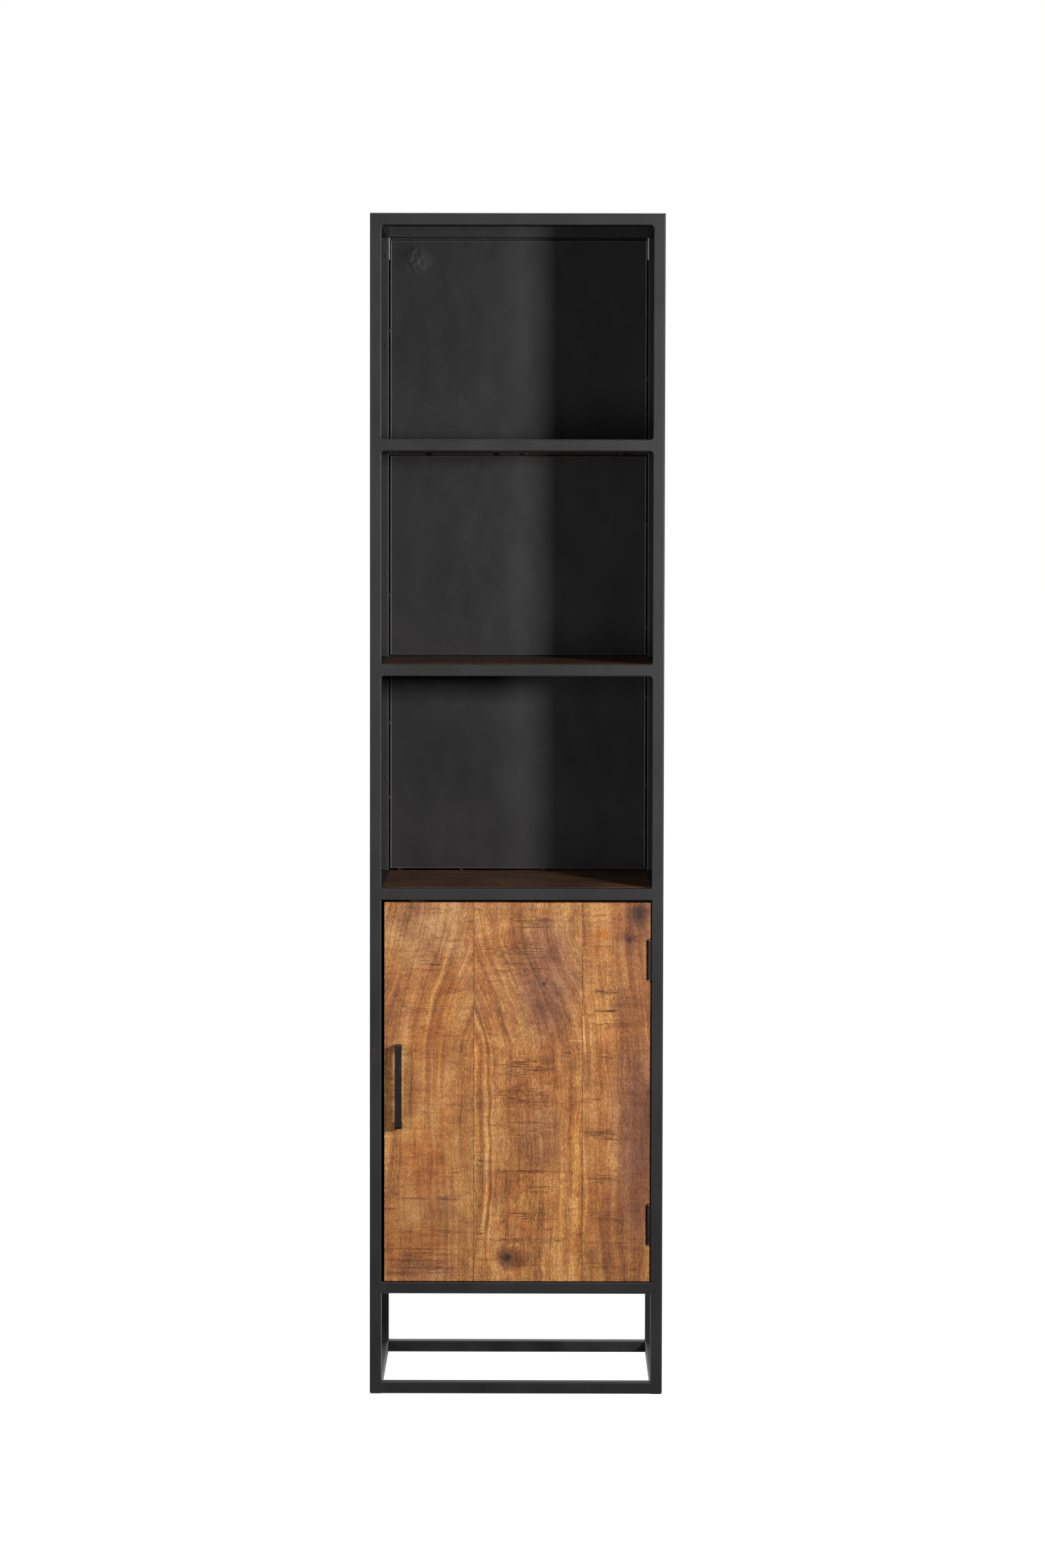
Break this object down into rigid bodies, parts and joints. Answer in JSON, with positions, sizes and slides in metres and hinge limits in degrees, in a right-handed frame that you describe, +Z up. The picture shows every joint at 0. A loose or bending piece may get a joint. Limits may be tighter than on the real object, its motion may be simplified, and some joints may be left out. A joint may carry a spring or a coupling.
{
  "type": "bookcase",
  "caption": "Tall narrow bookcase: a square-tube steel frame with open bays and dark wood shelves over a small cupboard with a solid wood door and an adjustable shelf.",
  "frame": {"origin": "middle of the whole object's footprint, handle included, at floor level", "axes": "+Z up, +X to the right seen from the front, the door and the open bays face -Y"},
  "size_m": [0.45, 0.376, 1.81],
  "materials": {
    "frame_paint": "semi-gloss dark grey paint, with ground welds and light wear",
    "panel_sheet": "semi-gloss dark grey paint on sheet steel, slightly dented",
    "shelf_wood": "dark brown stain, satin",
    "door_wood": "clear satin lacquer on solid wood with fine saw marks",
    "handle_black": "satin black paint",
    "hinge_steel": "darkened steel, worn bright at the knuckles",
    "zinc_plated": "zinc plated",
    "catch_plastic": "black moulded plastic"
  },
  "bodies": {
    "cabinet": {"post_front_left": "frame_paint", "post_front_right": "frame_paint", "post_rear_left": "frame_paint", "post_rear_right": "frame_paint", "top_rail_front": "frame_paint", "top_rail_rear": "frame_paint", "top_rail_left": "frame_paint", "top_rail_right": "frame_paint", "shelf_1_rail_front": "frame_paint", "shelf_1_rail_rear": "frame_paint", "shelf_1_rail_left": "frame_paint", "shelf_1_rail_right": "frame_paint", "shelf_2_rail_front": "frame_paint", "shelf_2_rail_rear": "frame_paint", "shelf_2_rail_left": "frame_paint", "shelf_2_rail_right": "frame_paint", "shelf_3_rail_front": "frame_paint", "shelf_3_rail_rear": "frame_paint", "shelf_3_rail_left": "frame_paint", "shelf_3_rail_right": "frame_paint", "floor_rail_front": "frame_paint", "floor_rail_rear": "frame_paint", "floor_rail_left": "frame_paint", "floor_rail_right": "frame_paint", "base_rail_front": "frame_paint", "base_rail_rear": "frame_paint", "base_rail_left": "frame_paint", "base_rail_right": "frame_paint", "top_panel": "panel_sheet", "side_panels_left": "panel_sheet", "side_panels_right": "panel_sheet", "back_panel_1": "panel_sheet", "back_panel_2": "panel_sheet", "back_panel_3": "panel_sheet", "cupboard_back_panel": "panel_sheet", "shelf_board_1": "shelf_wood", "shelf_board_2": "shelf_wood", "shelf_board_3": "shelf_wood", "cupboard_floor_board": "shelf_wood", "board_tabs": "frame_paint", "board_screws": "zinc_plated", "shelf_strips_left": "frame_paint", "shelf_strips_right": "frame_paint", "shelf_pins": "zinc_plated", "magnetic_catch": "catch_plastic", "hinge_upper_frame_leaf": "hinge_steel", "hinge_lower_frame_leaf": "hinge_steel", "hinge_pins": "zinc_plated", "hinge_frame_screws": "zinc_plated"},
    "door": {"door_board_left": "door_wood", "door_board_middle": "door_wood", "door_board_right": "door_wood", "door_handle": "handle_black", "handle_screws": "zinc_plated", "strike_plate": "zinc_plated", "door_screws": "zinc_plated", "hinge_upper_door_leaf": "hinge_steel", "hinge_lower_door_leaf": "hinge_steel"},
    "inner_shelf": {"inner_shelf": "shelf_wood"}
  },
  "joints": [
    {"name": "door_hinge", "type": "hinge", "parent": "cabinet", "child": "door", "pos_m": [0.2037, -0.1605, 0.4665], "axis": [0, 0, 1], "range_deg": [0, 110]},
    {"name": "inner_shelf_lift", "type": "slide", "parent": "cabinet", "child": "inner_shelf", "axis": [0, 0, 1], "range_m": [0, 0.16]}
  ]
}
